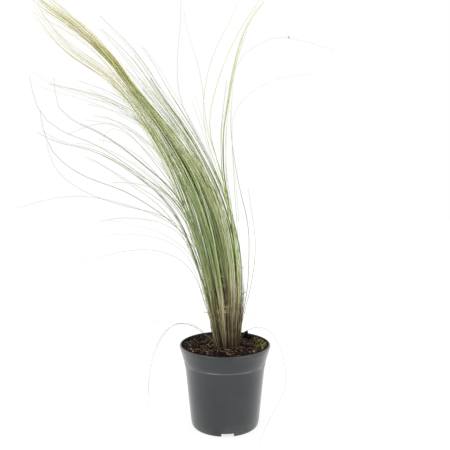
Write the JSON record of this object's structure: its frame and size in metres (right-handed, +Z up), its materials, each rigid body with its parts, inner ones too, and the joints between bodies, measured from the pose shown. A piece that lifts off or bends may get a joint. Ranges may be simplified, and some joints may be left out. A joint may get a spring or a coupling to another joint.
{
  "type": "potted feather grass",
  "caption": "Clump of hair-fine arching grass blades swept to one side, rooted in soil in a round, tapered, thin-walled nursery pot.",
  "frame": {"origin": "middle of the pot's underside, on the surface it stands on", "axes": "+Z up the pot's axis; -Y towards the viewer of the picture; the grass sweeps towards -X"},
  "size_m": [0.4121, 0.3408, 0.5794],
  "materials": {
    "pot_plastic": "satin",
    "potting_soil": "matte",
    "green_blade": "satin",
    "straw_blade": "matte"
  },
  "bodies": {
    "root": {"nursery_pot": "pot_plastic", "potting_soil": "potting_soil", "ponytail": "straw_blade", "under_lock": "straw_blade", "left_fan": "green_blade", "front_lock": "green_blade", "front_right_lock": "green_blade", "upright_lock": "straw_blade", "right_lock": "green_blade", "crest_lock": "green_blade", "back_lock": "green_blade", "high_fan": "green_blade"}
  },
  "joints": []
}
